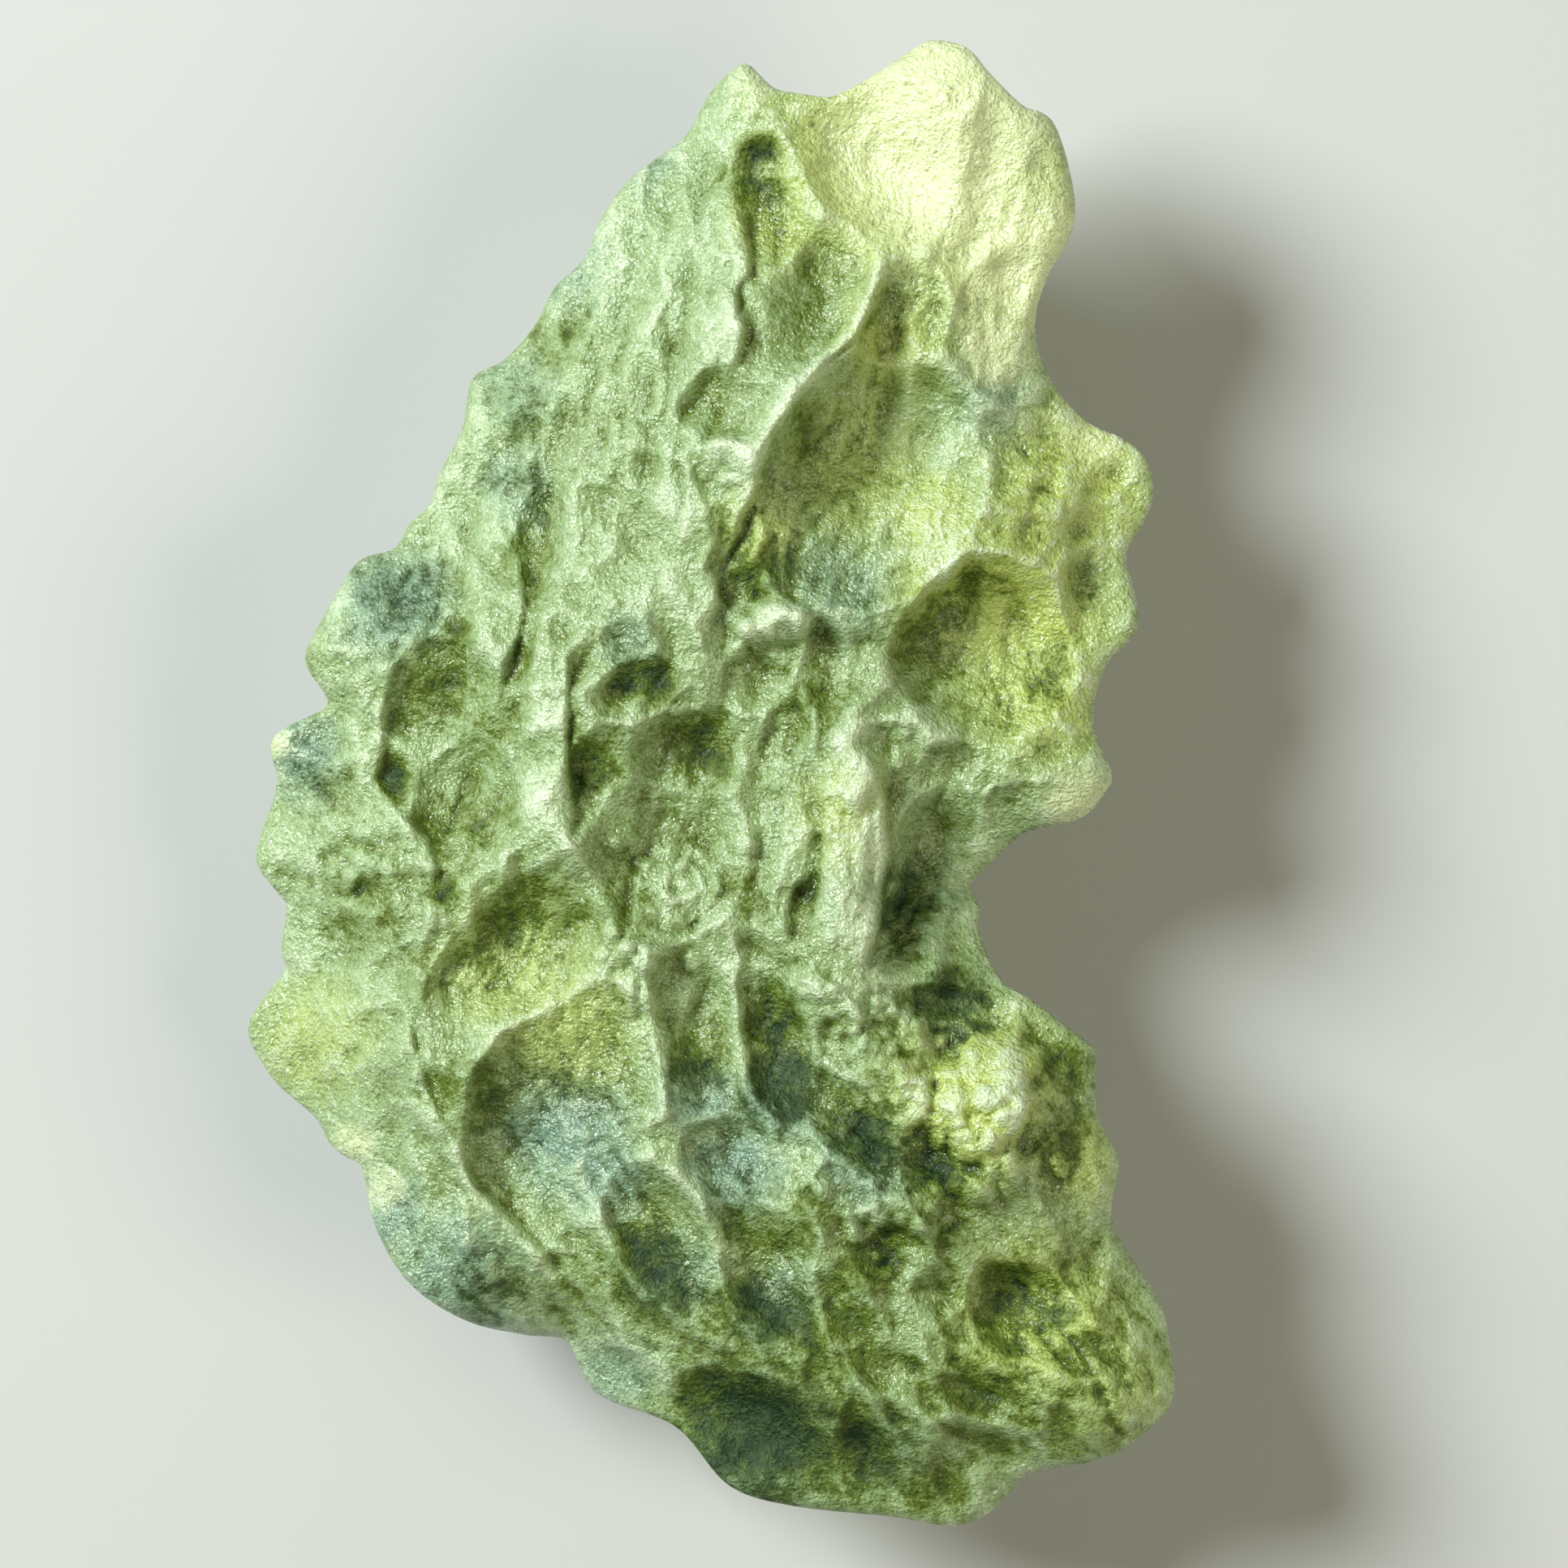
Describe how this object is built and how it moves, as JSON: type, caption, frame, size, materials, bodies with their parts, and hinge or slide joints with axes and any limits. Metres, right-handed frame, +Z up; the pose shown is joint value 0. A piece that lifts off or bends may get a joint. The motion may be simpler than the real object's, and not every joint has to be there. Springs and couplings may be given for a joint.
{
  "type": "moldavite",
  "caption": "Natural moldavite: a flat, crescent-like piece of green see-through glass with a toothed thin rim and deep etched hollows with crisp crests on both faces.",
  "frame": {"origin": "middle of the stone's box in X and Y, on the surface it lies on", "axes": "+Y along the length towards the horned tip, +Z up through the thickness, towards the viewer of the face, +X across, towards the side with the bay"},
  "size_m": [0.0188, 0.03, 0.0072],
  "materials": {
    "green_glass": "etched, frosty, see-through"
  },
  "bodies": {
    "root": {"moldavite": "green_glass"}
  },
  "joints": []
}
